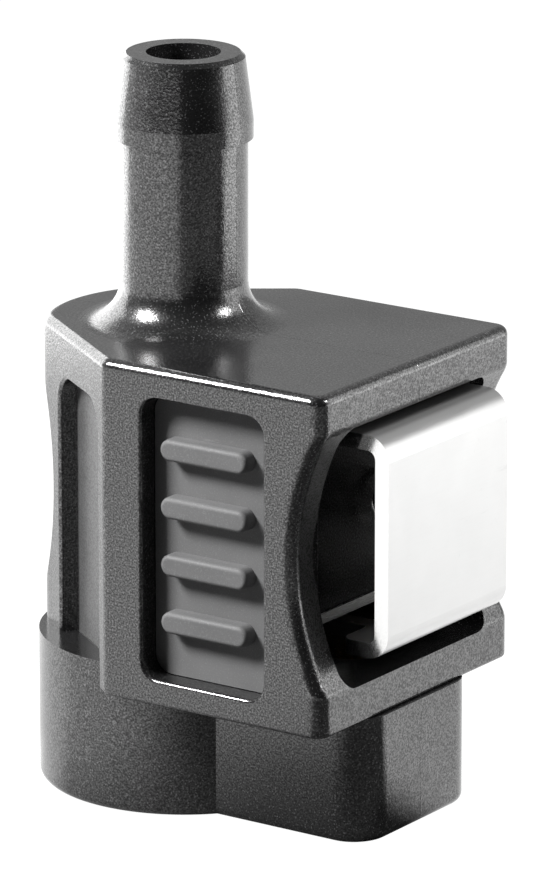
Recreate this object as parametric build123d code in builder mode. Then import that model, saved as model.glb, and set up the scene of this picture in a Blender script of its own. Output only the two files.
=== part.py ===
"""Push-on fuel hose connector, socket half.

A moulded housing with a hose barb on top and a two-lobed socket block below. The round lobe takes
a fuel probe, past a seal and a spring-loaded poppet. The square lobe takes a grooved lock pin,
which a sprung steel clip holds until its face is pressed.

Frame: +Z up along the fuel way, origin on its axis at the bottom face, +X towards the clip's face.
Millimetres.
"""
from build123d import *
import os

# ---- fuel way (round lobe, on the Z axis) -------------------------------------------------
PROBE_R = 4.25              # bore that guides the probe
PROBE_BORE_TOP = 13.0       # where the probe bore ends, under the valve seat
SEAT_HOLE_R = 2.6
SEAT_Z = 15.0               # face that the poppet seal closes on
CHAMBER_R = 4.8             # valve chamber inside the neck
RETAINER_R = 7.4
RETAINER_T = 2.4
PROBE_SEAL_WIRE = 2.2       # section of the probe seal
SPACER_T = 0.6
SEAL_GAP = 0.05             # room between a seal and the wall beside it
SEAL_BACK = 0.01            # how far the probe seal's lip stands back from the probe bore
# ---- hose barb ----------------------------------------------------------------------------
HOSE_BORE_R = 2.85
STEM_R = 4.9
BARB_R = 5.32
BARB_RIM_R = 4.7
BARB_LEN = 20.9             # from the housing's top face to the rim
BARB_HEAD_H = 6.55          # tapered head, rim to lower edge
BARB_LAND_H = 1.35          # straight land at the head's lower edge
BARB_LIP = 0.35             # rounding of the rim
STEM_FLARE = 3.2            # radius of the blend between stem and top face
CONE_LEDGE = 0.6            # ledge over the valve guide, where the cone to the hose bore starts
CONE_DROP = 2.0             # cone's top below the housing's top face
# ---- housing ------------------------------------------------------------------------------
HOUSING_Z = 9.9             # lower edge of the housing
HOUSING_H = 26.4
FACE_X = 21.5               # face that the clip stands in
HALF_Y = 13.0               # grip faces
SHOULDER_X = 1.75           # where the grip face turns into the slanted face
BACK_CORNER = (-9.6, 5.1)
BACK_X = -11.0
CORNER_R = 1.2
BACK_CORNER_R = 3.0
TOP_EDGE_R = 0.7
BOTTOM_EDGE_R = 0.3
RIM_EDGE_R = 0.3            # round on the mouths of pockets, windows and cavity
SCOOP_R = 20.0              # thumb and finger scoops, cut along Y
SCOOP_Z = 23.2              # height of the scoops' deepest line
THUMB_SCOOP_DEPTH = 2.7
FINGER_SCOOP_X = -7.9
SCOOP_EDGE_R = 1.1
NECK_FIT = 0.05             # radial play of the block's neck in the housing
OVERCUT = 1.0               # how far a cutter runs past the face it opens
TOL = 0.01                  # for picking edges by position
# ---- clip cavity --------------------------------------------------------------------------
CAVITY_BACK_X = 8.8
CAVITY_HALF_Y = 9.8
CAVITY_FLOOR_Z = 12.9
CAVITY_TOP_Z = 33.1
CAVITY_CORNER_R = 1.5
CORE_X = 19.0               # front of the solid core between the clip's legs
CORE_TOP_Z = 31.2
CORE_Z = 18.55
# ---- grip pads ----------------------------------------------------------------------------
GRIP_X0 = 5.1
GRIP_X1 = 16.25
GRIP_LOW_MARGIN = 2.05      # from the housing's lower edge
GRIP_TOP_MARGIN = 2.35      # from its top face
GRIP_CORNER_R = 1.5
GRIP_DEPTH = 1.9            # pad face below the grip face
PAD_T = 0.5
PAD_PLAY = 0.05
RIB_COUNT = 4
RIB_PITCH = 4.5
RIB_LEN = 7.9
RIB_W = 1.7
RIB_RISE = 1.3
RIB_EDGE_R = 0.35
RIB_SHIFT = (-0.3, 0.2)     # ribs' middle from the pad's, along X and Z
# ---- slanted-face windows -----------------------------------------------------------------
SLANT_WINDOW = (1.5, 10.4)  # along the slanted face, from the shoulder edge
SLANT_WINDOW_TOP = 3.8      # below the housing's top face
SLANT_WINDOW_DEPTH = 1.5
SLANT_WINDOW_R = 2.4
# ---- socket block -------------------------------------------------------------------------
LOBE_R = 11.3
RIM_H = 1.95                # round lobe's rim above the housing's lower edge
SQUARE_X = 21.9
SQUARE_HALF_Y = 7.7
SQUARE_CORNER_R = 3.0
LOBE_EDGE_R = 0.7
NECK_R = 6.4
NECK_TOP = 31.0
NECK_SEAL_WIRE = 1.5
NECK_SEAL_Z = 26.0
LOBE_FIT = 0.05             # play between lobe rim and housing
# ---- lock pin way -------------------------------------------------------------------------
PIN_X = 15.3
PIN_R = 2.5
BUSH_R = 2.55
BUSH_OUT_R = 4.2
BUSH_Z0 = 0.4
BUSH_H = 8.0
PIN_CLEAR_R = 3.4
PIN_HOLE_DEPTH = 2.6        # blind hole for the pin's tip, up into the core
LOCK_BITE = 0.8             # how far the clip reaches into the pin's groove
# ---- clip ---------------------------------------------------------------------------------
CLIP_X = 24.2
CLIP_T = 1.2
CLIP_Z0 = 15.3
CLIP_Z1 = 32.6
CLIP_HALF_Y = 8.1
CLIP_BEND_R = 1.9
CLIP_TRAVEL = 2.4
CLIP_CORNER_R = 0.9
TONGUE_HALF_Y = 4.6
FLANGE_LEN = 4.2            # full-width stretch of the lower leg
LOCK_SLOT_HALF_Y = 3.0
LOCK_SLOT_CORNER_R = 1.0
LEG_WEB = 2.0               # steel behind the lock slot
TOP_LEG_X = 11.4
STOP_X0 = 14.0              # stop boss in the cavity's ceiling
STOP_L = 2.0
STOP_HALF_Y = 1.6
STOP_PLAY = 0.2
STOP_REST_GAP = 0.03
# ---- clip spring --------------------------------------------------------------------------
CLIP_SPRING_Z = 25.2
CLIP_SPRING_R = 2.0
CLIP_SPRING_WIRE = 0.6
CLIP_SPRING_TURNS = 7
SPRING_BORE_PLAY = 0.25
SPRING_GAP = 0.05           # air left at each end of a spring
# ---- guide plate --------------------------------------------------------------------------
GUIDE_T = 0.8
GUIDE_BACK_GAP = 0.6        # from the cavity's back wall
GUIDE_PROUD = 0.2           # how far its front edge stands out from the core
GUIDE_SLOT = 0.4            # how deep its edges sit in the cavity's walls
GUIDE_PLAY = 0.05
# ---- poppet -------------------------------------------------------------------------------
POPPET_SEAL_WIRE = 1.6
POPPET_SEAL_R = 3.4         # centre circle of the seal
POPPET_HEAD_R = 3.95
POPPET_HEAD_T = 1.75
POPPET_NOSE_R = 1.5
POPPET_NOSE_Z = 13.1
POPPET_STEM_R = 1.3
POPPET_STEM_TOP = 31.6
POPPET_HUB_CONE = 0.3       # height of the cone between nose and hub
POPPET_TIP = 0.4            # chamfer on the stem's end
POPPET_SPRING_R = 2.7
POPPET_SPRING_WIRE = 0.55
POPPET_SPRING_TURNS = 7
# ---- valve guide --------------------------------------------------------------------------
VALVE_GUIDE_T = 1.6
VALVE_GUIDE_R = 5.3
VALVE_GUIDE_PLAY = 0.05
VALVE_STEM_PLAY = 0.15
FLOW_HOLES = 5
FLOW_HOLE_R = 0.95
FLOW_HOLE_PCR = 3.1

# ---- worked-out sizes ---------------------------------------------------------------------
HOUSING_TOP = HOUSING_Z + HOUSING_H
RIM_Z = HOUSING_Z + RIM_H
BARB_TOP = HOUSING_TOP + BARB_LEN
BARB_HEAD_Z = BARB_TOP - BARB_HEAD_H
POCKET_R = NECK_R + NECK_FIT
POCKET_TOP = NECK_TOP + NECK_FIT
GRIP_Z0 = HOUSING_Z + GRIP_LOW_MARGIN
GRIP_Z1 = HOUSING_TOP - GRIP_TOP_MARGIN
GRIP_MID = ((GRIP_X0 + GRIP_X1) / 2, (GRIP_Z0 + GRIP_Z1) / 2)
PAD_FACE_Y = HALF_Y - GRIP_DEPTH
PAD_FLOOR_Y = PAD_FACE_Y - PAD_T
PROBE_SEAL_Z0 = RETAINER_T + SPACER_T
PROBE_SEAL_GROOVE_TOP = PROBE_SEAL_Z0 + PROBE_SEAL_WIRE + 2 * SEAL_GAP
PROBE_SEAL_MID_R = PROBE_R + SEAL_BACK + PROBE_SEAL_WIRE / 2
GUIDE_SEAT_Z = NECK_TOP - VALVE_GUIDE_T
CLIP_INNER_X = CLIP_X - CLIP_T
GUIDE_X0 = CAVITY_BACK_X + GUIDE_BACK_GAP
GUIDE_X1 = CORE_X + GUIDE_PROUD
GUIDE_Z = CORE_Z - GUIDE_T
SPRING_BORE_R = CLIP_SPRING_R + CLIP_SPRING_WIRE / 2 + SPRING_BORE_PLAY
LOCK_EDGE_X = PIN_X - PIN_R + LOCK_BITE
LOCK_SLOT_END = PIN_X + PIN_R + CLIP_TRAVEL + STOP_PLAY
POPPET_SEAL_Z = SEAT_Z + SEAL_GAP + POPPET_SEAL_WIRE / 2
POPPET_HEAD_Z = POPPET_SEAL_Z + POPPET_SEAL_WIRE / 2
POPPET_HUB_R = POPPET_SEAL_R - POPPET_SEAL_WIRE / 2

os.makedirs("parts", exist_ok=True)


def save(part, name):
    """Label a finished piece and write its STEP file."""
    part.label = name
    export_step(part, f"parts/{name}.step")


def coil(radius, wire, turns, length):
    """Compression spring standing on the XY plane, from z = 0 to z = length."""
    with BuildPart() as spring:
        with BuildLine() as line:
            Helix(pitch=(length - wire) / turns, height=length - wire, radius=radius)
        with BuildSketch(Plane(line.line @ 0, z_dir=line.line % 0)):
            Circle(wire / 2)
        sweep(path=line.line, is_frenet=True)
    return Pos(0, 0, wire / 2) * spring.part


# ---- housing ------------------------------------------------------------------------------
slant_back = Vector(BACK_CORNER[0], -BACK_CORNER[1], 0)
slant_front = Vector(SHOULDER_X, -HALF_Y, 0)
slant_dir = (slant_front - slant_back).normalized()
slant_plane = Plane(origin=slant_front, x_dir=slant_dir, z_dir=slant_dir.cross(Vector(0, 0, 1)))

with BuildPart() as slant_windows:
    # both slanted faces' windows, as one cutter, open onto the round lobe's rim
    window_len = SLANT_WINDOW[1] - SLANT_WINDOW[0]
    window_top = HOUSING_TOP - SLANT_WINDOW_TOP
    with BuildSketch(slant_plane.offset(-SLANT_WINDOW_DEPTH)):
        with Locations((-sum(SLANT_WINDOW) / 2, (HOUSING_Z + window_top) / 2)):
            RectangleRounded(window_len, window_top - HOUSING_Z, SLANT_WINDOW_R)
        with Locations((-sum(SLANT_WINDOW) / 2, RIM_Z)):
            Rectangle(window_len, 2 * SLANT_WINDOW_R)
    extrude(amount=SLANT_WINDOW_DEPTH + OVERCUT)
    mirror(about=Plane.XZ)



def on_window_mouth(edge):
    """Whether an edge of the housing lies on the mouth of a slanted face's window."""
    middle = edge.center()
    place = slant_plane.to_local_coords(Vector(middle.X, -abs(middle.Y), middle.Z))
    return (abs(place.Z) < TOL and RIM_Z + TOL < middle.Z < window_top + TOL
            and -SLANT_WINDOW[1] - TOL < place.X < -SLANT_WINDOW[0] + TOL)


with BuildPart() as housing:
    # outer block, with its upright corners and top edge rounded
    with BuildSketch(Plane.XY.offset(HOUSING_Z)):
        with BuildLine():
            bx, by = BACK_CORNER
            Polyline((bx, -by), (SHOULDER_X, -HALF_Y), (FACE_X, -HALF_Y), (FACE_X, HALF_Y),
                     (SHOULDER_X, HALF_Y), (bx, by))
            ThreePointArc((bx, by), (BACK_X, 0), (bx, -by))
        make_face()
    extrude(amount=HOUSING_H)
    upright = housing.edges().filter_by(Axis.Z)
    fillet(upright.filter_by(lambda e: e.center().X > BACK_X / 2), CORNER_R)
    upright = housing.edges().filter_by(Axis.Z)
    fillet(upright.filter_by(lambda e: e.center().X < BACK_X / 2), BACK_CORNER_R)
    fillet(housing.faces().sort_by(Axis.Z)[-1].edges(), TOP_EDGE_R)
    fillet(housing.faces().sort_by(Axis.Z)[0].edges(), BOTTOM_EDGE_R)
    # scoops for the thumb and the finger
    with BuildSketch(Plane.XZ):
        with Locations((FACE_X - THUMB_SCOOP_DEPTH + SCOOP_R, SCOOP_Z),
                       (FINGER_SCOOP_X - SCOOP_R, SCOOP_Z)):
            Circle(SCOOP_R)
    extrude(amount=HALF_Y + OVERCUT, both=True, mode=Mode.SUBTRACT)
    scoop_edges = housing.edges().filter_by(GeomType.CIRCLE).filter_by(
        lambda e: abs(e.radius - SCOOP_R) < TOL and abs(abs(e.center().Y) - HALF_Y) < TOL)
    fillet(scoop_edges, SCOOP_EDGE_R)
    # hose barb
    with BuildSketch(Plane.XZ):
        with BuildLine():
            Polyline((0, HOUSING_TOP - OVERCUT), (STEM_R + STEM_FLARE, HOUSING_TOP - OVERCUT),
                     (STEM_R + STEM_FLARE, HOUSING_TOP))
            RadiusArc((STEM_R + STEM_FLARE, HOUSING_TOP), (STEM_R, HOUSING_TOP + STEM_FLARE),
                      STEM_FLARE)
            Polyline((STEM_R, HOUSING_TOP + STEM_FLARE), (STEM_R, BARB_HEAD_Z), (BARB_R, BARB_HEAD_Z),
                     (BARB_R, BARB_HEAD_Z + BARB_LAND_H), (BARB_RIM_R, BARB_TOP - BARB_LIP),
                     (BARB_RIM_R - BARB_LIP, BARB_TOP), (0, BARB_TOP),
                     (0, HOUSING_TOP - OVERCUT))
        make_face()
    revolve(axis=Axis.Z)
    # way for the fuel: rim pocket, neck pocket, cone and hose bore
    with BuildSketch(Plane.XZ):
        with BuildLine():
            Polyline((0, HOUSING_Z - OVERCUT), (LOBE_R + LOBE_FIT, HOUSING_Z - OVERCUT),
                     (LOBE_R + LOBE_FIT, RIM_Z), (POCKET_R, RIM_Z), (POCKET_R, POCKET_TOP),
                     (VALVE_GUIDE_R - CONE_LEDGE, POCKET_TOP), (HOSE_BORE_R, HOUSING_TOP - CONE_DROP),
                     (HOSE_BORE_R, BARB_TOP + OVERCUT), (0, BARB_TOP + OVERCUT),
                     (0, HOUSING_Z - OVERCUT))
        make_face()
    revolve(axis=Axis.Z, mode=Mode.SUBTRACT)
    # cavity for the clip, then the solid core between the clip's legs
    with BuildSketch(Plane.YZ.offset(CAVITY_BACK_X)):
        with Locations((0, (CAVITY_FLOOR_Z + CAVITY_TOP_Z) / 2)):
            RectangleRounded(2 * CAVITY_HALF_Y, CAVITY_TOP_Z - CAVITY_FLOOR_Z, CAVITY_CORNER_R)
    extrude(amount=FACE_X + OVERCUT - CAVITY_BACK_X, mode=Mode.SUBTRACT)
    with BuildSketch(Plane.XY.offset(CORE_Z)):
        with Locations(((CAVITY_BACK_X + CORE_X) / 2, 0)):
            Rectangle(CORE_X - CAVITY_BACK_X, 2 * CAVITY_HALF_Y)
    extrude(amount=CORE_TOP_Z - CORE_Z)
    # pillar that stops the clip, over the core
    with BuildSketch(Plane.XY.offset(CORE_TOP_Z)):
        with Locations((STOP_X0 + STOP_L / 2, 0)):
            Rectangle(STOP_L, 2 * STOP_HALF_Y)
    extrude(amount=CAVITY_TOP_Z - CORE_TOP_Z)
    # blind bore for the clip spring
    with BuildSketch(Plane.YZ.offset(CAVITY_BACK_X)):
        with Locations((0, CLIP_SPRING_Z)):
            Circle(SPRING_BORE_R)
    extrude(amount=CORE_X - CAVITY_BACK_X, mode=Mode.SUBTRACT)
    # hole for the lock pin, through the floor and up into the core
    with BuildSketch(Plane.XY.offset(HOUSING_Z)):
        with Locations((PIN_X, 0)):
            Circle(PIN_CLEAR_R)
    extrude(amount=CORE_Z + PIN_HOLE_DEPTH - HOUSING_Z, mode=Mode.SUBTRACT)
    # slots for the guide plate's edges
    with BuildSketch(Plane.XY.offset(GUIDE_Z - GUIDE_PLAY)):
        with Locations(((GUIDE_X0 + GUIDE_X1) / 2, 0)):
            Rectangle(GUIDE_X1 - GUIDE_X0 + 2 * GUIDE_PLAY,
                      2 * (CAVITY_HALF_Y + GUIDE_SLOT + GUIDE_PLAY))
    extrude(amount=GUIDE_T + GUIDE_PLAY, mode=Mode.SUBTRACT)
    # pockets for the grip pads
    for side in (-1, 1):
        with BuildSketch(Plane.XZ.offset(-side * PAD_FLOOR_Y)):
            with Locations(GRIP_MID):
                RectangleRounded(GRIP_X1 - GRIP_X0, GRIP_Z1 - GRIP_Z0, GRIP_CORNER_R)
        extrude(amount=-side * (HALF_Y - PAD_FLOOR_Y + OVERCUT), mode=Mode.SUBTRACT)
    pocket_mouths = housing.edges().filter_by(
        lambda e: abs(abs(e.center().Y) - HALF_Y) < TOL
        and GRIP_X0 - TOL < e.center().X < GRIP_X1 + TOL and GRIP_Z0 - TOL < e.center().Z < GRIP_Z1 + TOL)
    fillet(pocket_mouths, RIM_EDGE_R)
    add(slant_windows.part, mode=Mode.SUBTRACT)
    fillet(housing.edges().filter_by(on_window_mouth), RIM_EDGE_R)
save(housing.part, "housing")

# ---- socket block -------------------------------------------------------------------------
with BuildPart() as socket_block:
    with BuildSketch():
        Circle(LOBE_R)
        with Locations((SQUARE_X / 2, 0)):
            RectangleRounded(SQUARE_X, 2 * SQUARE_HALF_Y, SQUARE_CORNER_R)
    extrude(amount=HOUSING_Z)
    fillet(socket_block.faces().sort_by(Axis.Z)[0].edges(), LOBE_EDGE_R)
    with BuildSketch(Plane.XY.offset(HOUSING_Z)):
        Circle(LOBE_R)
    extrude(amount=RIM_H)
    # neck, with the groove for its seal
    with BuildSketch(Plane.XY.offset(RIM_Z)):
        Circle(NECK_R)
    extrude(amount=NECK_TOP - RIM_Z)
    with BuildSketch(Plane.XY.offset(NECK_SEAL_Z - NECK_SEAL_WIRE / 2 - SEAL_GAP)):
        Circle(NECK_R + OVERCUT)
        Circle(NECK_R - NECK_SEAL_WIRE + NECK_FIT, mode=Mode.SUBTRACT)
    extrude(amount=NECK_SEAL_WIRE + 2 * SEAL_GAP, mode=Mode.SUBTRACT)
    # fuel way: retainer seat, seal groove, probe bore, valve seat, chamber, guide seat
    with BuildSketch(Plane.XZ):
        with BuildLine():
            groove_r = PROBE_SEAL_MID_R + PROBE_SEAL_WIRE / 2 + SEAL_GAP
            Polyline((0, -OVERCUT), (RETAINER_R, -OVERCUT), (RETAINER_R, PROBE_SEAL_Z0),
                     (groove_r, PROBE_SEAL_Z0),
                     (groove_r, PROBE_SEAL_GROOVE_TOP), (PROBE_R, PROBE_SEAL_GROOVE_TOP),
                     (PROBE_R, PROBE_BORE_TOP), (SEAT_HOLE_R, PROBE_BORE_TOP), (SEAT_HOLE_R, SEAT_Z),
                     (CHAMBER_R, SEAT_Z), (CHAMBER_R, GUIDE_SEAT_Z), (VALVE_GUIDE_R, GUIDE_SEAT_Z),
                     (VALVE_GUIDE_R, NECK_TOP + OVERCUT), (0, NECK_TOP + OVERCUT), (0, -OVERCUT))
        make_face()
    revolve(axis=Axis.Z, mode=Mode.SUBTRACT)
    # lock pin way: bush seat, then a clearance hole
    with BuildSketch():
        with Locations((PIN_X, 0)):
            Circle(BUSH_OUT_R)
    extrude(amount=BUSH_Z0 + BUSH_H, mode=Mode.SUBTRACT)
    with BuildSketch():
        with Locations((PIN_X, 0)):
            Circle(PIN_CLEAR_R)
    extrude(amount=HOUSING_Z, mode=Mode.SUBTRACT)
save(socket_block.part, "socket_block")

# ---- grip pads ----------------------------------------------------------------------------
with BuildPart() as grip_pad:
    with BuildSketch(Plane.XZ.offset(PAD_FLOOR_Y)):
        with Locations(GRIP_MID):
            RectangleRounded(GRIP_X1 - GRIP_X0 - 2 * PAD_PLAY, GRIP_Z1 - GRIP_Z0 - 2 * PAD_PLAY,
                             GRIP_CORNER_R - PAD_PLAY)
    extrude(amount=PAD_T)
    with BuildSketch(Plane.XZ.offset(PAD_FACE_Y)):
        with Locations((GRIP_MID[0] + RIB_SHIFT[0], GRIP_MID[1] + RIB_SHIFT[1])):
            with GridLocations(1, RIB_PITCH, 1, RIB_COUNT):
                SlotOverall(RIB_LEN, RIB_W)
    extrude(amount=RIB_RISE)
    fillet(grip_pad.faces().filter_by(Axis.Y).group_by(Axis.Y)[0].edges(), RIB_EDGE_R)
save(grip_pad.part, "grip_pad_front")
save(mirror(grip_pad.part, about=Plane.XZ), "grip_pad_rear")

# ---- clip ---------------------------------------------------------------------------------
with BuildPart() as latch_clip:
    # bent strip, seen from the side
    with BuildSketch(Plane.XZ):
        with BuildLine():
            lower_end = LOCK_EDGE_X - LEG_WEB
            bend = CLIP_BEND_R
            inner = CLIP_BEND_R - CLIP_T
            Line((lower_end, CLIP_Z0), (CLIP_X - bend, CLIP_Z0))
            RadiusArc((CLIP_X - bend, CLIP_Z0), (CLIP_X, CLIP_Z0 + bend), -bend)
            Line((CLIP_X, CLIP_Z0 + bend), (CLIP_X, CLIP_Z1 - bend))
            RadiusArc((CLIP_X, CLIP_Z1 - bend), (CLIP_X - bend, CLIP_Z1), -bend)
            Polyline((CLIP_X - bend, CLIP_Z1), (TOP_LEG_X, CLIP_Z1), (TOP_LEG_X, CLIP_Z1 - CLIP_T),
                     (CLIP_INNER_X - inner, CLIP_Z1 - CLIP_T))
            RadiusArc((CLIP_INNER_X - inner, CLIP_Z1 - CLIP_T), (CLIP_INNER_X, CLIP_Z1 - CLIP_T - inner),
                      inner)
            Line((CLIP_INNER_X, CLIP_Z1 - CLIP_T - inner), (CLIP_INNER_X, CLIP_Z0 + CLIP_T + inner))
            RadiusArc((CLIP_INNER_X, CLIP_Z0 + CLIP_T + inner), (CLIP_INNER_X - inner, CLIP_Z0 + CLIP_T),
                      inner)
            Polyline((CLIP_INNER_X - inner, CLIP_Z0 + CLIP_T), (lower_end, CLIP_Z0 + CLIP_T),
                     (lower_end, CLIP_Z0))
        make_face()
    extrude(amount=CLIP_HALF_Y, both=True)
    # the lower leg narrows to a tongue with the lock slot
    flange_x = CLIP_X - FLANGE_LEN
    with BuildSketch(Plane.XY.offset(CLIP_Z0)):
        for side in (-1, 1):
            with Locations(((lower_end + flange_x) / 2, side * (CLIP_HALF_Y + TONGUE_HALF_Y) / 2)):
                Rectangle(flange_x - lower_end, CLIP_HALF_Y - TONGUE_HALF_Y)
        with Locations(((LOCK_EDGE_X + LOCK_SLOT_END) / 2, 0)):
            RectangleRounded(LOCK_SLOT_END - LOCK_EDGE_X, 2 * LOCK_SLOT_HALF_Y, LOCK_SLOT_CORNER_R)
    extrude(amount=CLIP_T, mode=Mode.SUBTRACT)
    # slot in the top leg, round the stop boss
    stop_slot = (STOP_X0 - STOP_REST_GAP, STOP_X0 + STOP_L + CLIP_TRAVEL + STOP_PLAY)
    with BuildSketch(Plane.XY.offset(CLIP_Z1)):
        with Locations((sum(stop_slot) / 2, 0)):
            Rectangle(stop_slot[1] - stop_slot[0], 2 * (STOP_HALF_Y + STOP_PLAY))
    extrude(amount=-CLIP_T, mode=Mode.SUBTRACT)
    # the flange's free corners are rounded off
    flange_corners = latch_clip.edges().filter_by(Axis.Z).filter_by(
        lambda e: abs(e.center().X - flange_x) < TOL and abs(abs(e.center().Y) - CLIP_HALF_Y) < TOL)
    fillet(flange_corners, CLIP_CORNER_R)
save(latch_clip.part, "latch_clip")

# ---- clip spring and guide plate ----------------------------------------------------------
clip_spring_len = CLIP_INNER_X - CAVITY_BACK_X - 2 * SPRING_GAP
clip_spring = coil(CLIP_SPRING_R, CLIP_SPRING_WIRE, CLIP_SPRING_TURNS, clip_spring_len)
save(Plane(origin=(CAVITY_BACK_X + SPRING_GAP, 0, CLIP_SPRING_Z), x_dir=(0, 1, 0), z_dir=(1, 0, 0))
     * clip_spring, "latch_spring")

with BuildPart() as guide_plate:
    with BuildSketch(Plane.XY.offset(GUIDE_Z)):
        with Locations(((GUIDE_X0 + GUIDE_X1) / 2, 0)):
            Rectangle(GUIDE_X1 - GUIDE_X0, 2 * (CAVITY_HALF_Y + GUIDE_SLOT))
        with Locations((PIN_X, 0)):
            Circle(PIN_CLEAR_R, mode=Mode.SUBTRACT)
    extrude(amount=GUIDE_T)
save(guide_plate.part, "guide_plate")

# ---- poppet, its seal and its spring ------------------------------------------------------
with BuildPart() as valve_poppet:
    with BuildSketch(Plane.XZ):
        with BuildLine():
            Polyline((0, POPPET_NOSE_Z), (POPPET_NOSE_R, POPPET_NOSE_Z),
                     (POPPET_NOSE_R, SEAT_Z + SEAL_GAP),
                     (POPPET_HUB_R, SEAT_Z + SEAL_GAP + POPPET_HUB_CONE),
                     (POPPET_HUB_R, POPPET_HEAD_Z), (POPPET_HEAD_R, POPPET_HEAD_Z),
                     (POPPET_HEAD_R, POPPET_HEAD_Z + POPPET_HEAD_T),
                     (POPPET_STEM_R, POPPET_HEAD_Z + POPPET_HEAD_T),
                     (POPPET_STEM_R, POPPET_STEM_TOP - POPPET_TIP),
                     (POPPET_STEM_R - POPPET_TIP, POPPET_STEM_TOP),
                     (0, POPPET_STEM_TOP), (0, POPPET_NOSE_Z))
        make_face()
    revolve(axis=Axis.Z)
save(valve_poppet.part, "valve_poppet")


def ring(mid_r, wire, z):
    """Round-section seal ring about the Z axis, centred at height z."""
    with BuildPart() as seal:
        with BuildSketch(Plane.XZ):
            with Locations((mid_r, z)):
                Circle(wire / 2)
        revolve(axis=Axis.Z)
    return seal.part


save(ring(POPPET_SEAL_R, POPPET_SEAL_WIRE, POPPET_SEAL_Z), "poppet_seal")
save(ring(NECK_R + NECK_FIT - NECK_SEAL_WIRE / 2, NECK_SEAL_WIRE, NECK_SEAL_Z), "neck_seal")
save(ring(PROBE_SEAL_MID_R, PROBE_SEAL_WIRE, PROBE_SEAL_Z0 + SEAL_GAP + PROBE_SEAL_WIRE / 2), "probe_seal")

spring_foot = POPPET_HEAD_Z + POPPET_HEAD_T + SPRING_GAP
poppet_spring = coil(POPPET_SPRING_R, POPPET_SPRING_WIRE, POPPET_SPRING_TURNS,
                     GUIDE_SEAT_Z - spring_foot - SPRING_GAP)
save(Pos(0, 0, spring_foot) * poppet_spring, "poppet_spring")

# ---- valve guide --------------------------------------------------------------------------
with BuildPart() as valve_guide:
    with BuildSketch(Plane.XY.offset(GUIDE_SEAT_Z)):
        Circle(VALVE_GUIDE_R - VALVE_GUIDE_PLAY)
        Circle(POPPET_STEM_R + VALVE_STEM_PLAY, mode=Mode.SUBTRACT)
        with PolarLocations(FLOW_HOLE_PCR, FLOW_HOLES):
            Circle(FLOW_HOLE_R, mode=Mode.SUBTRACT)
    extrude(amount=VALVE_GUIDE_T)
save(valve_guide.part, "valve_guide")

# ---- probe seal's spacer and retainer, and the lock pin's bush ----------------------------
with BuildPart() as seal_spacer:
    with BuildSketch(Plane.XY.offset(RETAINER_T)):
        Circle(RETAINER_R)
        Circle(PROBE_R, mode=Mode.SUBTRACT)
    extrude(amount=SPACER_T)
save(seal_spacer.part, "seal_spacer")

with BuildPart() as seal_retainer:
    with BuildSketch():
        Circle(RETAINER_R)
        Circle(PROBE_R, mode=Mode.SUBTRACT)
    extrude(amount=RETAINER_T)
save(seal_retainer.part, "seal_retainer")

with BuildPart() as pin_bush:
    with BuildSketch(Plane.XY.offset(BUSH_Z0)):
        with Locations((PIN_X, 0)):
            Circle(BUSH_OUT_R)
            Circle(BUSH_R, mode=Mode.SUBTRACT)
    extrude(amount=BUSH_H)
save(pin_bush.part, "pin_bush")
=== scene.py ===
"""Dresses the push-on fuel hose connector: finishes, springs, camera and studio.

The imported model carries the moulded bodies, the clip and the inner parts. This script gives each of
them its finish, winds the two springs in full detail, and sets the connector in a pale studio.
Lengths are in metres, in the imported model's frame: +Z up along the fuel way, +X towards the clip.
"""

import logging
import math
from dataclasses import dataclass, field
from enum import Enum
from typing import Any

import bmesh
import bpy
from mathutils import Matrix, Vector


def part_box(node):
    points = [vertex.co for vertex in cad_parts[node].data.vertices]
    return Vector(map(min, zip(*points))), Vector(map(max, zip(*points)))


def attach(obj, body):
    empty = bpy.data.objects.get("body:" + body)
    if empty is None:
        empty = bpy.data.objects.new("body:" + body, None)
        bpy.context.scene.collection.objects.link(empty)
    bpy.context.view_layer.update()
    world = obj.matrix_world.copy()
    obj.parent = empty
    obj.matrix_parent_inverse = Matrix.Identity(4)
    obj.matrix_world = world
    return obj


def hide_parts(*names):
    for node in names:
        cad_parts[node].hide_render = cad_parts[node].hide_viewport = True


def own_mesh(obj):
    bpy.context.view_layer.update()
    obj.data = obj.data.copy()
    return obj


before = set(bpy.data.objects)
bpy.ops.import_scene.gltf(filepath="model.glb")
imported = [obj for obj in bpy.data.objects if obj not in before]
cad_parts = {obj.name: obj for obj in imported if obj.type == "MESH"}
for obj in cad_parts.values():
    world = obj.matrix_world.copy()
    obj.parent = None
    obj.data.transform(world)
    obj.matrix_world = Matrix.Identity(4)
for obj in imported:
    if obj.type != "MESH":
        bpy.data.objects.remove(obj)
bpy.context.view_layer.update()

MM = 0.001
NOISE_RANGE = (0.3, 0.7)    # where nearly all of a noise texture's values lie
log = logging.getLogger("hose_connector")


class Way(Enum):
    """The two directions that this connector's sprung parts move along."""

    ALONG_CLIP = (1.0, 0.0, 0.0)
    ALONG_FUEL = (0.0, 0.0, 1.0)


# ---- wiring --------------------------------------------------------------------------------


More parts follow.
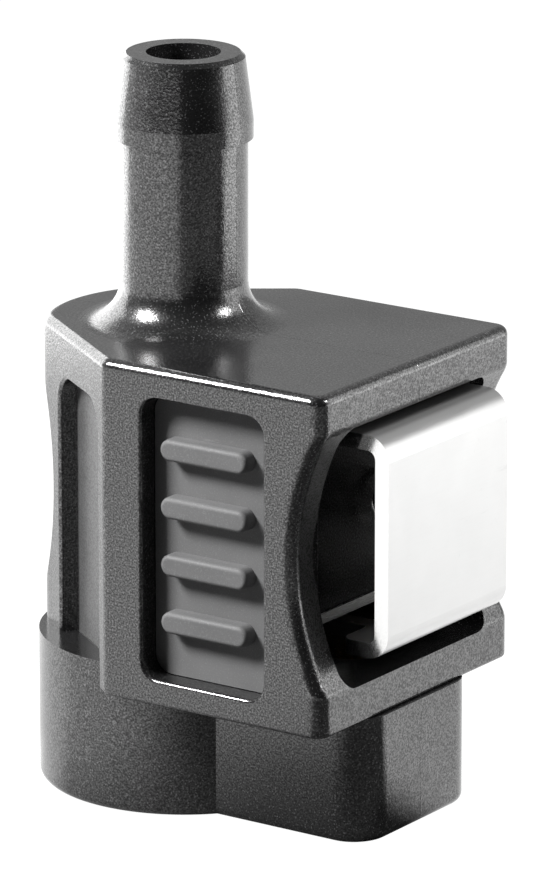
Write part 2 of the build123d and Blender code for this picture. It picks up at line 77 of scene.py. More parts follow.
class Wiring:
    """A thin typed wrapper round one node tree."""

    def __init__(self, tree: bpy.types.NodeTree) -> None:
        """Starts with an emptied tree.

        Args:
            tree: the node tree to wire.
        """
        self.tree = tree
        tree.nodes.clear()

    def add(self, kind: str, **settings: Any) -> bpy.types.Node:
        """Adds a node.

        Args:
            kind: the node's type name.
            settings: attributes to set on it.

        Returns:
            The new node.
        """
        node = self.tree.nodes.new(kind)
        for name, value in settings.items():
            setattr(node, name, value)
        return node

    def link(self, out: bpy.types.NodeSocket, into: bpy.types.NodeSocket) -> None:
        """Joins one socket to another."""
        self.tree.links.new(out, into)

    def feed(self, into: bpy.types.NodeSocket, what: Any) -> None:
        """Feeds a socket with another socket's output or with a constant.

        Args:
            into: the socket to feed.
            what: an output socket, or a value to set.
        """
        if isinstance(what, bpy.types.NodeSocket):
            self.link(what, into)
        else:
            into.default_value = what

    def maths(self, operation: str, a: Any, b: Any = 0.0, clamp: bool = False) -> bpy.types.NodeSocket:
        """Adds a Math node.

        Args:
            operation: the Math node's operation.
            a: first value or socket.
            b: second value or socket.
            clamp: whether the result is held between 0 and 1.

        Returns:
            Its output socket.
        """
        node = self.add("ShaderNodeMath", operation=operation, use_clamp=clamp)
        self.feed(node.inputs[0], a)
        self.feed(node.inputs[1], b)
        return node.outputs[0]

    def ramp(self, value: bpy.types.NodeSocket, low: float, high: float, to_low: float = 0.0,
             to_high: float = 1.0) -> bpy.types.NodeSocket:
        """Maps a value smoothly from one range to another.

        Args:
            value: the socket to map.
            low: where the result is to_low.
            high: where the result is to_high.
            to_low: result at low.
            to_high: result at high.

        Returns:
            The mapped value.
        """
        node = self.add("ShaderNodeMapRange", interpolation_type="SMOOTHSTEP", clamp=True)
        self.link(value, node.inputs["Value"])
        for name, number in (("From Min", low), ("From Max", high), ("To Min", to_low), ("To Max", to_high)):
            node.inputs[name].default_value = number
        return node.outputs["Result"]

    def blend(self, amount: Any, a: Any, b: Any) -> bpy.types.NodeSocket:
        """Adds a colour Mix node.

        Args:
            amount: the factor, as a number or a socket.
            a: first colour or socket.
            b: second colour or socket.

        Returns:
            The mixed colour.
        """
        node = self.add("ShaderNodeMix", data_type="RGBA", blend_type="MIX", clamp_factor=True)
        self.feed(node.inputs["Factor"], amount)
        self.feed(node.inputs[6], a)
        self.feed(node.inputs[7], b)
        return node.outputs[2]

    def noise(self, at: bpy.types.NodeSocket, per_mm: float, detail: float = 2.0,
              roughness: float = 0.5) -> bpy.types.NodeSocket:
        """Adds a Noise Texture.

        Args:
            at: the coordinates that it reads.
            per_mm: how many features there are in a millimetre.
            detail: octaves.
            roughness: weight of the finer octaves.

        Returns:
            Its value output.
        """
        node = self.add("ShaderNodeTexNoise", noise_dimensions="3D")
        self.link(at, node.inputs["Vector"])
        node.inputs["Scale"].default_value = per_mm / MM
        node.inputs["Detail"].default_value = detail
        node.inputs["Roughness"].default_value = roughness
        return node.outputs["Fac"]

    def along(self, at: bpy.types.NodeSocket, heading: Vector) -> bpy.types.NodeSocket:
        """Measures how far a place lies along a heading.

        Args:
            at: the coordinates.
            heading: the heading, of any length.

        Returns:
            The distance.
        """
        node = self.add("ShaderNodeVectorMath", operation="DOT_PRODUCT")
        self.link(at, node.inputs[0])
        node.inputs[1].default_value = heading.normalized()
        return node.outputs["Value"]

    def stretched(self, at: bpy.types.NodeSocket,
                  scale: tuple[float, float, float]) -> bpy.types.NodeSocket:
        """Scales coordinates through a Mapping node.

        Args:
            at: the coordinates.
            scale: scale along X, Y and Z.

        Returns:
            The scaled coordinates.
        """
        node = self.add("ShaderNodeMapping")
        self.link(at, node.inputs["Vector"])
        node.inputs["Scale"].default_value = scale
        return node.outputs["Vector"]


@dataclass(frozen=True)
class Band:
    """A stretch of one measure with soft ends, in millimetres."""

    rise: tuple[float, float]
    fall: tuple[float, float]

    def mask(self, w: Wiring, value: bpy.types.NodeSocket, origin: float = 0.0) -> bpy.types.NodeSocket:
        """Masks the values that lie in the band.

        Args:
            w: the wiring to work in.
            value: the measure, in metres.
            origin: where the band is counted from, in metres.

        Returns:
            The mask, 1 inside.
        """
        up = w.ramp(value, origin + self.rise[0] * MM, origin + self.rise[1] * MM)
        down = w.ramp(value, origin + self.fall[0] * MM, origin + self.fall[1] * MM, 1.0, 0.0)
        return w.maths("MINIMUM", up, down)


def shared_group(name: str, inputs: dict[str, float],
                 outputs: list[str]) -> tuple[bpy.types.NodeTree, Wiring]:
    """Starts a shader node group with float sockets and one vector input called Place.

    Args:
        name: the group's name.
        inputs: names of the value inputs, with their defaults.
        outputs: names of the value outputs.

    Returns:
        The group and its wiring, with Group Input and Group Output nodes in it.
    """
    tree = bpy.data.node_groups.new(name, "ShaderNodeTree")
    tree.interface.new_socket("Place", in_out="INPUT", socket_type="NodeSocketVector")
    for label, default in inputs.items():
        socket = tree.interface.new_socket(label, in_out="INPUT", socket_type="NodeSocketFloat")
        socket.default_value = default
    for label in outputs:
        tree.interface.new_socket(label, in_out="OUTPUT", socket_type="NodeSocketFloat")
    wiring = Wiring(tree)
    wiring.add("NodeGroupInput", name="in")
    wiring.add("NodeGroupOutput", name="out")
    return tree, wiring


@dataclass
class SharedEffects:
    """Surface effects that several finishes use, each built once as a node group."""

    grain: bpy.types.NodeTree = field(init=False)
    parting: bpy.types.NodeTree = field(init=False)
    scuffs: bpy.types.NodeTree = field(init=False)

    def __post_init__(self) -> None:
        """Builds the groups."""
        self.grain = self._build_grain()
        self.parting = self._build_parting()
        self.scuffs = self._build_scuffs()

    def _build_grain(self) -> bpy.types.NodeTree:
        """Fine erosion grain of a mould: a height and a mask of its brightest specks.

        Returns:
            The group.
        """
        tree, w = shared_group("mould_grain", {"Fine": 7.0, "Speck level": 0.66},
                               ["Height", "Specks", "Cloud", "Fine grain"])
        start, end = tree.nodes["in"], tree.nodes["out"]
        per_metre = w.maths("MULTIPLY", start.outputs["Fine"], 1.0 / MM)
        fine = w.add("ShaderNodeTexNoise", noise_dimensions="3D")
        w.link(start.outputs["Place"], fine.inputs["Vector"])
        w.link(per_metre, fine.inputs["Scale"])
        fine.inputs["Detail"].default_value = 1.5
        pits = w.add("ShaderNodeTexVoronoi", voronoi_dimensions="3D", feature="F1")
        w.link(start.outputs["Place"], pits.inputs["Vector"])
        w.link(w.maths("MULTIPLY", per_metre, 0.55), pits.inputs["Scale"])
        height = w.maths("ADD", w.maths("MULTIPLY", fine.outputs["Fac"], 0.7),
                         w.maths("MULTIPLY", pits.outputs["Distance"], 0.45))
        w.link(height, end.inputs["Height"])
        w.link(fine.outputs["Fac"], end.inputs["Fine grain"])
        over = w.maths("SUBTRACT", fine.outputs["Fac"], start.outputs["Speck level"])
        w.link(w.maths("MULTIPLY", over, 12.0, clamp=True), end.inputs["Specks"])
        w.link(w.noise(start.outputs["Place"], 0.16, 3.0), end.inputs["Cloud"])
        return tree

    def _build_parting(self) -> bpy.types.NodeTree:
        """The line that the mould's two halves leave round the middle, as a mask and a height.

        Returns:
            The group.
        """
        tree, w = shared_group("parting_line", {"Half width": 0.05 * MM}, ["Line"])
        start, end = tree.nodes["in"], tree.nodes["out"]
        apart = w.add("ShaderNodeSeparateXYZ")
        w.link(start.outputs["Place"], apart.inputs[0])
        off = w.maths("DIVIDE", w.maths("ABSOLUTE", apart.outputs["Y"]), start.outputs["Half width"])
        line = w.maths("SUBTRACT", 1.6, off, clamp=True)
        broken = w.ramp(w.noise(start.outputs["Place"], 0.9, 2.0), 0.36, 0.5, 0.35, 1.0)
        w.link(w.maths("MULTIPLY", line, broken), end.inputs["Line"])
        return tree

    def _build_scuffs(self) -> bpy.types.NodeTree:
        """Faint hair scratches and handling marks, as a mask.

        Returns:
            The group.
        """
        tree, w = shared_group("hair_scuffs", {"Amount": 0.5}, ["Scuffs"])
        start, end = tree.nodes["in"], tree.nodes["out"]
        total = None
        for turn, scale in (((0.5, 0.3, 0.9), (9.0, 0.35, 2.2)), ((1.4, 0.2, 2.3), (0.4, 8.0, 3.0))):
            turned = w.add("ShaderNodeMapping")
            w.link(start.outputs["Place"], turned.inputs["Vector"])
            turned.inputs["Rotation"].default_value = turn
            turned.inputs["Scale"].default_value = scale
            hair = w.ramp(w.noise(turned.outputs["Vector"], 0.5, 4.0, 0.6), 0.66, 0.74)
            total = hair if total is None else w.maths("MAXIMUM", total, hair)
        w.link(w.maths("MULTIPLY", total, start.outputs["Amount"]), end.inputs["Scuffs"])
        return tree


def use_group(w: Wiring, tree: bpy.types.NodeTree, place: bpy.types.NodeSocket,
              **values: float) -> bpy.types.Node:
    """Places a shared effect in a material.

    Args:
        w: the material's wiring.
        tree: the effect's node group.
        place: the coordinates that it works on.
        values: its inputs, with underscores in place of spaces.

    Returns:
        The group node.
    """
    node = w.add("ShaderNodeGroup", node_tree=tree)
    w.link(place, node.inputs["Place"])
    for name, value in values.items():
        node.inputs[name.replace("_", " ")].default_value = value
    return node


# ---- finishes ------------------------------------------------------------------------------


@dataclass(frozen=True)
class Finish:
    """What every finish has: its name, its plain colour and its mean roughness."""

    name: str
    colour: tuple[float, float, float]
    roughness: float = 0.3

    def rgba(self, gain: float = 1.0) -> tuple[float, float, float, float]:
        """The colour, brightened by a gain, with an alpha of 1."""
        red, green, blue = (min(1.0, part * gain) for part in self.colour)
        return (red, green, blue, 1.0)

    def start(self) -> tuple[bpy.types.Material, Wiring, bpy.types.Node, bpy.types.NodeSocket]:
        """Begins the material.

        Returns:
            The material, its wiring, its Principled shader and the Object coordinates.
        """
        material = bpy.data.materials.new(self.name)
        material.use_nodes = True
        w = Wiring(material.node_tree)
        surface = w.add("ShaderNodeBsdfPrincipled")
        out = w.add("ShaderNodeOutputMaterial")
        w.link(surface.outputs["BSDF"], out.inputs["Surface"])
        place = w.add("ShaderNodeTexCoord").outputs["Object"]
        material.diffuse_color = self.rgba()
        return material, w, surface, place

    def uneven(self, w: Wiring, by: bpy.types.NodeSocket, less: float, more: float) -> bpy.types.NodeSocket:
        """Varies the roughness with a noise.

        Args:
            w: the material's wiring.
            by: the noise.
            less: how far below the mean the roughness goes.
            more: how far above it.

        Returns:
            The roughness.
        """
        return w.ramp(by, *NOISE_RANGE, self.roughness - less, self.roughness + more)

    @staticmethod
    def relief(w: Wiring, surface: bpy.types.Node, height: bpy.types.NodeSocket, depth_mm: float,
               strength: float) -> None:
        """Adds a Bump node that feeds the shader's Normal.

        Args:
            w: the material's wiring.
            surface: the Principled shader.
            height: what the relief follows.
            depth_mm: the relief's depth in millimetres.
            strength: the Bump node's strength.
        """
        bump = w.add("ShaderNodeBump")
        bump.inputs["Strength"].default_value = strength
        bump.inputs["Distance"].default_value = depth_mm * MM
        w.link(height, bump.inputs["Height"])
        w.link(bump.outputs["Normal"], surface.inputs["Normal"])


@dataclass(frozen=True)
class MouldedNylon(Finish):
    """Black glass-filled nylon from a spark-eroded mould."""

    grain_per_mm: float = 7.0
    grain_depth_mm: float = 0.02
    speck_gain: float = 16.0
    speck_share: float = 0.5
    sparkle: float = 0.25
    index: float = 1.95
    body: bool = True
    slant: tuple[tuple[float, float], tuple[float, float]] = ((0.00175, -0.013), (-0.00960, -0.00510))
    matt: tuple[float, float, float, float] = (0.055, 0.055, 0.0555, 1.0)
    matt_roughness: float = 0.3
    window_depth: Band = Band((-1.56, -1.52), (-1.49, -1.35))
    window_span: Band = Band((1.3, 1.4), (10.45, 10.55))
    window_rise: Band = Band((9.8, 10.0), (32.5, 32.6))
    cavity: tuple[Vector, Vector] = (Vector((0.0085, -0.0099, 0.0128)), Vector((0.0212, 0.0099, 0.0332)))
    cavity_edge_mm: float = 0.3
    # how far the painted shade in the latch cavity cuts the specular level
    cavity_shaded_sheen: float = 0.2

    def _cavity_shade_mask(self, w: Wiring, place: bpy.types.NodeSocket) -> bpy.types.NodeSocket:
        """A mask of the latch cavity, where the specular level is cut down as painted shade.

        Args:
            w: the material's wiring.
            place: the Object coordinates.

        Returns:
            The mask.
        """
        low, high = self.cavity
        off = w.add("ShaderNodeVectorMath", operation="SUBTRACT")
        w.link(place, off.inputs[0])
        off.inputs[1].default_value = (low + high) / 2
        size = w.add("ShaderNodeVectorMath", operation="ABSOLUTE")
        w.link(off.outputs[0], size.inputs[0])
        apart = w.add("ShaderNodeSeparateXYZ")
        w.link(size.outputs[0], apart.inputs[0])
        half = (high - low) / 2
        mask = None
        for axis, reach in zip("XYZ", half):
            part = w.ramp(apart.outputs[axis], reach - self.cavity_edge_mm * MM, reach, 1.0, 0.0)
            mask = part if mask is None else w.maths("MINIMUM", mask, part)
        return mask

    def _window_floor(self, w: Wiring, place: bpy.types.NodeSocket) -> bpy.types.NodeSocket:
        """A mask of the floors of the slanted faces' windows, which are left matt.

        Args:
            w: the material's wiring.
            place: the Object coordinates.

        Returns:
            The mask.
        """
        shoulder, back = (Vector((x, y, 0.0)) for x, y in self.slant)
        onward = (back - shoulder).normalized()
        outward = Vector((-onward.y, onward.x, 0.0))
        apart = w.add("ShaderNodeSeparateXYZ")
        w.link(place, apart.inputs[0])
        folded = w.add("ShaderNodeCombineXYZ")
        w.link(apart.outputs["X"], folded.inputs["X"])
        w.link(w.maths("MULTIPLY", w.maths("ABSOLUTE", apart.outputs["Y"]), -1.0), folded.inputs["Y"])
        deep = self.window_depth.mask(w, w.along(folded.outputs[0], outward), shoulder.dot(outward))
        wide = self.window_span.mask(w, w.along(folded.outputs[0], onward), shoulder.dot(onward))
        high = self.window_rise.mask(w, apart.outputs["Z"])
        return w.maths("MINIMUM", w.maths("MINIMUM", deep, wide), high)

    def build(self, effects: SharedEffects) -> bpy.types.Material:
        """Makes the material.

        Args:
            effects: the shared effects.

        Returns:
            The material.
        """
        material, w, surface, place = self.start()
        grain = use_group(w, effects.grain, place, Fine=self.grain_per_mm, Speck_level=0.62)
        scuffs = use_group(w, effects.scuffs, place, Amount=0.25)
        base = w.blend(grain.outputs["Cloud"], self.rgba(0.8), self.rgba(1.25))
        specks = w.maths("MULTIPLY", grain.outputs["Specks"], self.speck_share)
        base = w.blend(specks, base, self.rgba(self.speck_gain))
        base = w.blend(scuffs.outputs["Scuffs"], base, self.rgba(2.2))
        rough = self.uneven(w, grain.outputs["Cloud"], 0.05, 0.06)
        height = grain.outputs["Height"]
        if self.body:
            line = use_group(w, effects.parting, place, Half_width=0.05 * MM).outputs["Line"]
            base = w.blend(w.maths("MULTIPLY", line, 0.6), base, self.rgba(0.35))
            height = w.maths("ADD", height, w.maths("MULTIPLY", line, 1.2))
            matt = self._window_floor(w, place)
            base = w.blend(matt, base, self.matt)
            rough = w.maths("ADD", rough, w.maths("MULTIPLY", matt, self.matt_roughness))
        w.link(base, surface.inputs["Base Color"])
        w.link(rough, surface.inputs["Roughness"])
        sheen = w.ramp(grain.outputs["Fine grain"], 0.34, 0.66, 0.5 - self.sparkle, 0.5 + self.sparkle)
        # Painted shade: inside the latch cavity the specular level is cut to a fifth.
        cavity_painted_shade = w.ramp(self._cavity_shade_mask(w, place), 0.0, 1.0, 1.0, self.cavity_shaded_sheen)
        w.link(w.maths("MULTIPLY", sheen, cavity_painted_shade), surface.inputs["Specular IOR Level"])
        surface.inputs["IOR"].default_value = self.index
        self.relief(w, surface, height, self.grain_depth_mm, 0.6)
        return material


@dataclass(frozen=True)
class SatinSteel(Finish):
    """Stainless strip with a fine rolled grain, tumbled after blanking."""

    roughness: float = 0.3
    roll_scale: tuple[float, float, float] = (1.0, 0.06, 1.0)
    fleck: float = 0.25
    # lightening of the sheared edges' colour, a painted highlight
    sheared_highlight_gain: float = 1.4
    sheared_roughness: float = -0.2

    def build(self, effects: SharedEffects) -> bpy.types.Material:
        """Makes the material.

        Args:
            effects: the shared effects.

        Returns:
            The material.
        """
        material, w, surface, place = self.start()
        rolled = w.noise(w.stretched(place, self.roll_scale), 6.0, 3.0, 0.6)
        cloud = w.noise(place, 0.25, 3.0)
        scuffs = use_group(w, effects.scuffs, place, Amount=self.fleck)
        base = w.blend(cloud, self.rgba(0.94), self.rgba(1.04))
        base = w.blend(scuffs.outputs["Scuffs"], base, self.rgba(0.72))
        # The strip's sheared edges, the faces turned along Y, are made smoother, and their colour is
        # lightened as a painted highlight.
        facing = w.add("ShaderNodeSeparateXYZ")
        w.link(w.add("ShaderNodeNewGeometry").outputs["Normal"], facing.inputs[0])
        sheared_edge_and_highlight = w.ramp(w.maths("ABSOLUTE", facing.outputs["Y"]), 0.6, 0.9)
        base = w.blend(sheared_edge_and_highlight, base, self.rgba(self.sheared_highlight_gain))
        w.link(base, surface.inputs["Base Color"])
        surface.inputs["Metallic"].default_value = 1.0
        rough = self.uneven(w, rolled, 0.03, 0.04)
        rough = w.maths("ADD", rough, w.maths("MULTIPLY", sheared_edge_and_highlight, self.sheared_roughness))
        w.link(rough, surface.inputs["Roughness"])
        self.relief(w, surface, rolled, 0.003, 0.25)
        return material


@dataclass(frozen=True)
class DrawnWire(Finish):
    """Spring wire with faint die marks."""

    roughness: float = 0.28

    def build(self, effects: SharedEffects) -> bpy.types.Material:
        """Makes the material.

        Args:
            effects: the shared effects.

        Returns:
            The material.
        """
        material, w, surface, place = self.start()
        marks = w.noise(place, 3.0, 4.0, 0.65)
        scuffs = use_group(w, effects.scuffs, place, Amount=0.4)
        base = w.blend(marks, self.rgba(0.82), self.rgba(1.1))
        base = w.blend(scuffs.outputs["Scuffs"], base, self.rgba(0.6))
        w.link(base, surface.inputs["Base Color"])
        surface.inputs["Metallic"].default_value = 1.0
        w.link(self.uneven(w, marks, 0.06, 0.08), surface.inputs["Roughness"])
        self.relief(w, surface, marks, 0.005, 0.4)
        return material


@dataclass(frozen=True)
class SmoothPlastic(Finish):
    """Acetal: smooth, a little waxy, with faint flow marks."""

    roughness: float = 0.3

    def build(self, effects: SharedEffects) -> bpy.types.Material:
        """Makes the material.

        Args:
            effects: the shared effects.

        Returns:
            The material.
        """
        material, w, surface, place = self.start()
        flow = w.noise(w.stretched(place, (1.0, 1.0, 0.3)), 0.5, 3.0)
        grain = use_group(w, effects.grain, place, Fine=10.0, Speck_level=0.7)
        base = w.blend(flow, self.rgba(0.85), self.rgba(1.2))
        w.link(base, surface.inputs["Base Color"])
        w.link(self.uneven(w, flow, 0.05, 0.08), surface.inputs["Roughness"])
        surface.inputs["IOR"].default_value = 1.48
        self.relief(w, surface, grain.outputs["Height"], 0.004, 0.3)
        return material


@dataclass(frozen=True)
class SealRubber(Finish):
    """Fluoroelastomer seal, matt, with a trace of bloom."""

    roughness: float = 0.62

    def build(self, effects: SharedEffects) -> bpy.types.Material:
        """Makes the material.

        Args:
            effects: the shared effects.

        Returns:
            The material.
        """
        material, w, surface, place = self.start()
        bloom = w.noise(place, 0.8, 4.0, 0.6)
        grain = use_group(w, effects.grain, place, Fine=9.0, Speck_level=0.68)
        base = w.blend(w.ramp(bloom, 0.45, 0.75), self.rgba(), self.rgba(2.0))
        w.link(base, surface.inputs["Base Color"])
        w.link(self.uneven(w, bloom, 0.08, 0.1), surface.inputs["Roughness"])
        self.relief(w, surface, grain.outputs["Height"], 0.006, 0.4)
        return material


@dataclass(frozen=True)
class TurnedBrass(Finish):
    """Brass bush with turning rings about its own axis."""

    roughness: float = 0.25
    axis_x: float = 0.0153

    def build(self, effects: SharedEffects) -> bpy.types.Material:
        """Makes the material.

        Args:
            effects: the shared effects.

        Returns:
            The material.
        """
        material, w, surface, place = self.start()
        centred = w.add("ShaderNodeMapping")
        w.link(place, centred.inputs["Vector"])
        centred.inputs["Location"].default_value = (-self.axis_x, 0.0, 0.0)
        rings = w.add("ShaderNodeTexWave", wave_type="RINGS", rings_direction="Z", wave_profile="SIN")
        w.link(centred.outputs["Vector"], rings.inputs["Vector"])
        rings.inputs["Scale"].default_value = 2.5 / MM
        rings.inputs["Distortion"].default_value = 1.2
        tarnish = w.noise(place, 0.5, 4.0, 0.6)
        scuffs = use_group(w, effects.scuffs, place, Amount=0.3)
        base = w.blend(w.ramp(tarnish, 0.4, 0.75), self.rgba(), self.rgba(0.6))
        base = w.blend(scuffs.outputs["Scuffs"], base, self.rgba(1.2))
        w.link(base, surface.inputs["Base Color"])
        surface.inputs["Metallic"].default_value = 1.0
        w.link(self.uneven(w, tarnish, 0.05, 0.12), surface.inputs["Roughness"])
        self.relief(w, surface, rings.outputs["Fac"], 0.004, 0.3)
        return material


@dataclass
class FinishSet:
    """Every finish of the connector, built once."""

    effects: SharedEffects = field(default_factory=SharedEffects)
    body: bpy.types.Material = field(init=False)
    grip: bpy.types.Material = field(init=False)
    clip: bpy.types.Material = field(init=False)
    plate: bpy.types.Material = field(init=False)
    wire: bpy.types.Material = field(init=False)
    acetal: bpy.types.Material = field(init=False)
    rubber: bpy.types.Material = field(init=False)
    brass: bpy.types.Material = field(init=False)

    def __post_init__(self) -> None:
        """Builds the materials."""
        fx = self.effects
        self.body = MouldedNylon("moulded_nylon", (0.010, 0.010, 0.0102), roughness=0.2).build(fx)
        self.grip = MouldedNylon("grip_nylon", (0.14, 0.14, 0.141), roughness=0.62, grain_per_mm=9.0,
                                 grain_depth_mm=0.006, body=False, speck_gain=1.6, sparkle=0.12,
                                 index=1.45).build(fx)
        self.clip = SatinSteel("satin_stainless", (0.62, 0.62, 0.616), roughness=0.33).build(fx)
        self.plate = SatinSteel("guide_steel", (0.8, 0.8, 0.79), roughness=0.26, fleck=0.5).build(fx)
        self.wire = DrawnWire("spring_wire", (0.6, 0.6, 0.59)).build(fx)
        self.acetal = SmoothPlastic("black_acetal", (0.045, 0.045, 0.046)).build(fx)
        self.rubber = SealRubber("seal_rubber", (0.022, 0.022, 0.022)).build(fx)
        self.brass = TurnedBrass("turned_brass", (0.74, 0.56, 0.28)).build(fx)


def dress(node: str, material: bpy.types.Material) -> None:
    """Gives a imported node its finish.

    Args:
        node: the node's name.
        material: the finish.
    """
    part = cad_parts[node]
    part.data.materials.clear()
    part.data.materials.append(material)
    log.info("%s wears %s", node, material.name)


# ---- sub-assemblies ------------------------------------------------------------------------


@dataclass
class MouldedBodies:
    """The housing, the socket block and the two grip pads."""

    finishes: FinishSet
    bodies: tuple[str, ...] = ("housing", "socket_block")
    pads: tuple[str, ...] = ("grip_pad_front", "grip_pad_rear")

    def build(self) -> None:
        """Dresses the moulded pieces."""
        for node in self.bodies:
            dress(node, self.finishes.body)
        for node in self.pads:
            dress(node, self.finishes.grip)


@dataclass
class CoilSpring:
    """A compression spring with closed, ground ends, which stands in for a plain packed coil."""

    finishes: FinishSet
    node: str
    joint: str
    way: Way
    travel: float
    anchored_low: bool
    wire: float
    turns: int
    body: str = "base"
    slot: str = "spring_steel"
    segments: int = 14
    steps_per_turn: int = 40

    def build(self) -> bpy.types.Object:
        """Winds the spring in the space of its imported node.

        Returns:
            The finished spring.
        """
        low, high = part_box(self.node)
        axis = Vector(self.way.value)
        length = (high - low).dot(axis)
        centre = (low + high) / 2
        base = centre - axis * length / 2
        across = Vector((0.0, 1.0, 0.0))
        radius = ((high - low).y - self.wire) / 2
        mesh = bmesh.new()
        lie = Matrix.Translation(base + across * radius + axis * self.wire / 2)
        face = axis.cross(across).to_track_quat("Z", "Y").to_matrix().to_4x4()
        ring = bmesh.ops.create_circle(mesh, cap_ends=False, radius=self.wire / 2, segments=self.segments,
                                       matrix=lie @ face)
        loop = list({edge for vert in ring["verts"] for edge in vert.link_edges})
        first = loop
        closed = self.wire * 1.04
        pitch = (length - self.wire - 2 * closed) / (self.turns - 2)
        for count, rise in ((1, closed), (self.turns - 2, pitch), (1, closed)):
            steps = count * self.steps_per_turn
            turned = bmesh.ops.spin(mesh, geom=loop, cent=base, axis=axis, steps=steps, use_duplicate=False,
                                    dvec=axis * rise / self.steps_per_turn, angle=2 * math.pi * count)
            loop = [item for item in turned["geom_last"] if isinstance(item, bmesh.types.BMEdge)]
        for end in (first, loop):
            bmesh.ops.contextual_create(mesh, geom=[edge for edge in end if edge.is_valid])
        bmesh.ops.remove_doubles(mesh, verts=mesh.verts, dist=1e-7)
        bmesh.ops.recalc_face_normals(mesh, faces=mesh.faces)
        data = bpy.data.meshes.new(self.node + "_coil")
        mesh.to_mesh(data)
        mesh.free()
        for polygon in data.polygons:
            polygon.use_smooth = True
        spring = bpy.data.objects.new(self.node + "_coil", data)
        bpy.context.scene.collection.objects.link(spring)
        data.materials.append(self.finishes.wire)
        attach(spring, self.body)
        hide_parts(self.node)
        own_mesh(spring)
        log.info("%s wound, %d faces", spring.name, len(data.polygons))
        return spring


@dataclass
class ClipLatch:
    """The sprung steel clip, its spring and the plate that it slides under."""

    finishes: FinishSet
    travel: float = 2.4 * MM
    wire: float = 0.6 * MM
    turns: int = 7

    def build(self) -> None:
        """Dresses the clip and winds its spring."""
        dress("latch_clip", self.finishes.clip)
        dress("guide_plate", self.finishes.plate)
        dress("latch_spring", self.finishes.wire)
        CoilSpring(self.finishes, "latch_spring", "latch_press", Way.ALONG_CLIP, self.travel, True,
                   self.wire, self.turns).build()


@dataclass
class ValveTrain:
    """The poppet, its seals and spring, and the rings round the probe."""

    finishes: FinishSet
    travel: float = 2.5 * MM
    wire: float = 0.55 * MM
    turns: int = 8

    def build(self) -> None:
        """Dresses the inner pieces and winds the poppet's spring."""
        for node in ("valve_poppet", "valve_guide", "seal_spacer", "seal_retainer"):
            dress(node, self.finishes.acetal)
        for node in ("poppet_seal", "neck_seal", "probe_seal"):
            dress(node, self.finishes.rubber)
        dress("pin_bush", self.finishes.brass)
        dress("poppet_spring", self.finishes.wire)
        CoilSpring(self.finishes, "poppet_spring", "poppet_lift", Way.ALONG_FUEL, self.travel, False,
                   self.wire, self.turns).build()


# ---- studio --------------------------------------------------------------------------------


@dataclass(frozen=True)
class Softbox:
    """One upright rectangular lamp, placed by its bearing from the connector and facing it.

    The azimuth is counted from -Y towards +X, in degrees.
    """

    name: str
    azimuth: float
    reach: float
    width: float
    low: float
    high: float
    radiance: float
    lean: float = 0.0
    middle_x: float = 0.004

    def build(self) -> None:
        """Stands the lamp in the studio."""
        tall = self.high - self.low
        lamp = bpy.data.lights.new(self.name, "AREA")
        lamp.shape = "RECTANGLE"
        lamp.size, lamp.size_y = self.width, tall
        lamp.energy = self.radiance * math.pi * self.width * tall
        turn, lift = math.radians(self.azimuth), math.radians(self.lean)
        out = Vector((math.sin(turn), -math.cos(turn), 0.0))
        back = out * math.cos(lift) + Vector((0.0, 0.0, math.sin(lift)))
        holder = bpy.data.objects.new(self.name, lamp)
        holder.location = out * self.reach + Vector((self.middle_x, 0.0, (self.low + self.high) / 2))
        holder.rotation_euler = back.to_track_quat("Z", "Y").to_euler()
        holder.visible_camera = False
        bpy.context.scene.collection.objects.link(holder)


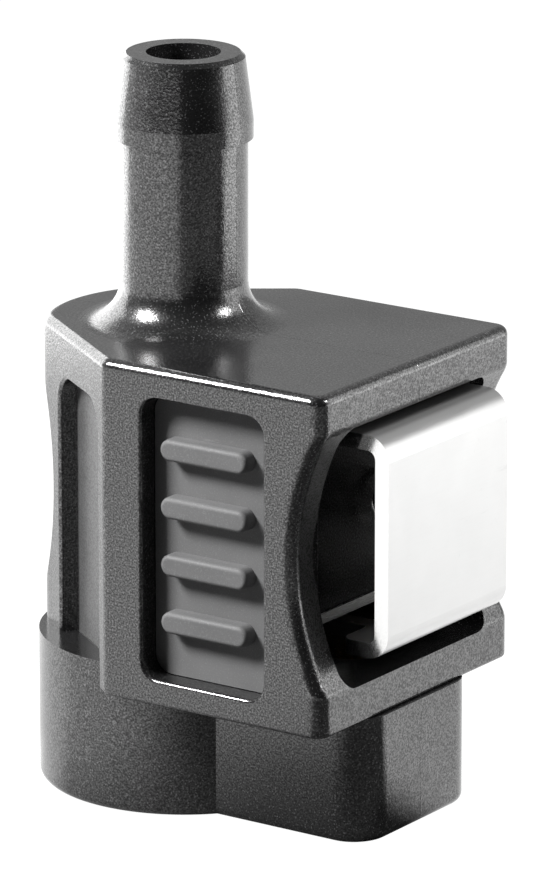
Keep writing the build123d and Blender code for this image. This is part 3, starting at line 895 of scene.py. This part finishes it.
@dataclass
class Studio:
    """Floor, light and camera."""

    eye: Vector = field(default_factory=lambda: Vector((0.3036, -0.4274, 0.17705)))
    aim: Vector = field(default_factory=lambda: Vector((0.00635, 0.00298, 0.0270)))
    lens: float = 290.9
    sensor: float = 36.0
    floor_gap: float = 0.03 * MM
    floor_half: float = 6.0
    floor_tone: float = 0.08
    # bands of the floor's painted reflection, seen only by glossy rays
    near_heading: tuple[float, float, float] = (0.4226, -0.9063, 0.0)
    near_glow: tuple[float, float, float, float] = (0.004, 0.011, 1.3, 0.0)
    left_heading: tuple[float, float, float] = (-0.866, -0.5, 0.0)
    left_glow: tuple[float, float, float, float] = (-0.010, 0.030, 0.0, 1.0)
    far_start: tuple[float, float, float, float] = (0.06, 0.10, 0.0, 0.22)
    far_end: tuple[float, float, float, float] = (0.18, 0.35, 0.22, 0.0)
    room_glow: tuple[float, float, float, float] = (-0.5, 0.6, 0.6, 0.02)
    room_share: float = 0.3
    softboxes: tuple[Softbox, ...] = (
        Softbox("left_softbox", -106.0, 0.14, 0.13, 0.001, 0.12, 3.2),
        Softbox("right_softbox", 128.0, 0.16, 0.11, 0.001, 0.13, 1.6),
        Softbox("key_softbox", -40.0, 0.21, 0.08, 0.17, 0.25, 85.0, lean=45.0),
        Softbox("far_softbox", 112.0, 0.22, 0.06, 0.14, 0.20, 22.0, lean=35.0),
    )

    def build(self) -> None:
        """Sets up the whole studio."""
        self._camera()
        self._floor()
        self._world()
        for softbox in self.softboxes:
            softbox.build()
        scene = bpy.context.scene
        scene.view_settings.view_transform = "Standard"

    def _camera(self) -> None:
        """Places the camera."""
        camera = bpy.data.cameras.new("camera")
        camera.lens = self.lens
        camera.sensor_fit = "AUTO"
        camera.sensor_width = self.sensor
        camera.clip_start = 0.01
        camera.clip_end = 50.0
        holder = bpy.data.objects.new("camera", camera)
        holder.location = self.eye
        holder.rotation_euler = (self.eye - self.aim).to_track_quat("Z", "Y").to_euler()
        bpy.context.scene.collection.objects.link(holder)
        bpy.context.scene.camera = holder

    def _floor(self) -> None:
        """Lays the pale floor, white to the eye, which shows glossy rays a painted reflection of bright
        bands.
        """
        mesh = bmesh.new()
        bmesh.ops.create_grid(mesh, x_segments=1, y_segments=1, size=self.floor_half,
                              matrix=Matrix.Translation((0.0, 0.0, -self.floor_gap)))
        data = bpy.data.meshes.new("floor")
        mesh.to_mesh(data)
        mesh.free()
        floor = bpy.data.objects.new("floor", data)
        bpy.context.scene.collection.objects.link(floor)
        material = bpy.data.materials.new("pale_floor")
        material.use_nodes = True
        w = Wiring(material.node_tree)
        pale = w.add("ShaderNodeBsdfDiffuse")
        pale.inputs["Color"].default_value = (self.floor_tone, self.floor_tone, self.floor_tone, 1.0)
        glow = w.add("ShaderNodeEmission")
        path = w.add("ShaderNodeLightPath")
        place = w.add("ShaderNodeTexCoord").outputs["Object"]
        # Painted reflection: glossy rays see bright bands on the floor, near the connector, to its left and
        # further out towards the camera.
        ahead = w.along(place, Vector((self.eye.x, self.eye.y, 0.0)))
        near = w.ramp(w.along(place, Vector(self.near_heading)), *self.near_glow)
        left = w.ramp(w.along(place, Vector(self.left_heading)), *self.left_glow)
        far = w.maths("MINIMUM", w.ramp(ahead, *self.far_start), w.ramp(ahead, *self.far_end))
        painted_reflection_bands = w.maths("MAXIMUM", w.maths("MAXIMUM", near, left), far)
        painted_reflection_glow = w.maths("MULTIPLY", path.outputs["Is Glossy Ray"], painted_reflection_bands)
        w.link(w.maths("ADD", path.outputs["Is Camera Ray"], painted_reflection_glow), glow.inputs["Strength"])
        both = w.add("ShaderNodeAddShader")
        w.link(pale.outputs[0], both.inputs[0])
        w.link(glow.outputs[0], both.inputs[1])
        beneath = w.add("ShaderNodeMixShader")
        w.link(w.add("ShaderNodeNewGeometry").outputs["Backfacing"], beneath.inputs[0])
        w.link(both.outputs[0], beneath.inputs[1])
        w.link(w.add("ShaderNodeBsdfTransparent").outputs[0], beneath.inputs[2])
        out = w.add("ShaderNodeOutputMaterial")
        w.link(beneath.outputs[0], out.inputs["Surface"])
        data.materials.append(material)

    def _world(self) -> None:
        """Lights the room: white to the eye, dim to the front of the connector."""
        world = bpy.data.worlds.new("studio_world")
        bpy.context.scene.world = world
        world.use_nodes = True
        w = Wiring(world.node_tree)
        path = w.add("ShaderNodeLightPath")
        seen = w.maths("MAXIMUM", path.outputs["Is Camera Ray"], path.outputs["Is Transmission Ray"])
        toward = w.along(w.add("ShaderNodeTexCoord").outputs["Generated"], self.eye - self.aim)
        glossy = w.maths("MULTIPLY", path.outputs["Is Glossy Ray"], 1.0 - self.room_share)
        room = w.maths("MULTIPLY", w.ramp(toward, *self.room_glow),
                       w.maths("ADD", glossy, self.room_share))
        strength = w.add("ShaderNodeMix", data_type="FLOAT")
        w.link(seen, strength.inputs["Factor"])
        w.link(room, strength.inputs[2])
        strength.inputs[3].default_value = 1.0
        back = w.add("ShaderNodeBackground")
        w.link(strength.outputs[0], back.inputs["Strength"])
        out = w.add("ShaderNodeOutputWorld")
        w.link(back.outputs[0], out.inputs["Surface"])


def main() -> None:
    """Builds everything in order."""
    logging.basicConfig(level=logging.INFO, format="%(message)s")
    Studio().build()
    finishes = FinishSet()
    MouldedBodies(finishes).build()
    ClipLatch(finishes).build()
    ValveTrain(finishes).build()


if __name__ == "__main__":
    main()
